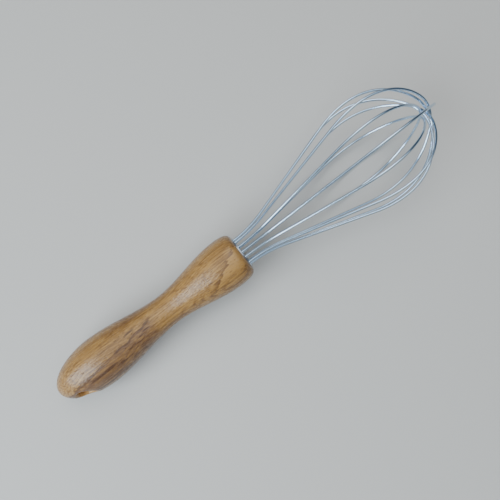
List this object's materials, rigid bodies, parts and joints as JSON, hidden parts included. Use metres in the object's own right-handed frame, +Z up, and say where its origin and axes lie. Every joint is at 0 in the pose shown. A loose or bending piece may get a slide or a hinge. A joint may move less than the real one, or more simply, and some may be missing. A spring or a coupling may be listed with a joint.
{
  "type": "balloon whisk",
  "caption": "Balloon whisk with a waisted, turned wooden handle, a cross-drilled hanging hole and a pear-shaped cage of steel wire loops set through a steel plate.",
  "frame": {"origin": "on the table, at the middle of the whisk's footprint as it lies at rest", "axes": "+Z up, +X from the butt of the handle towards the tip of the cage, +Y across the handle to the left, the hanging hole running across it 14 degrees out of level"},
  "size_m": [0.2658, 0.0638, 0.0637],
  "materials": {
    "handle_wood": "satin varnish over streaked honey-brown hardwood",
    "wire_steel": "bright drawn stainless wire",
    "plate_steel": "plain stamped stainless steel",
    "resin": "cast epoxy"
  },
  "bodies": {
    "root": {"handle": "handle_wood", "mouth_plate": "plate_steel", "potting_resin": "resin", "spacer_disc": "plate_steel", "wire_loop_1": "wire_steel", "wire_loop_2": "wire_steel", "wire_loop_3": "wire_steel", "wire_loop_4": "wire_steel", "wire_loop_5": "wire_steel", "wire_loop_6": "wire_steel", "wire_loop_7": "wire_steel"}
  },
  "joints": []
}
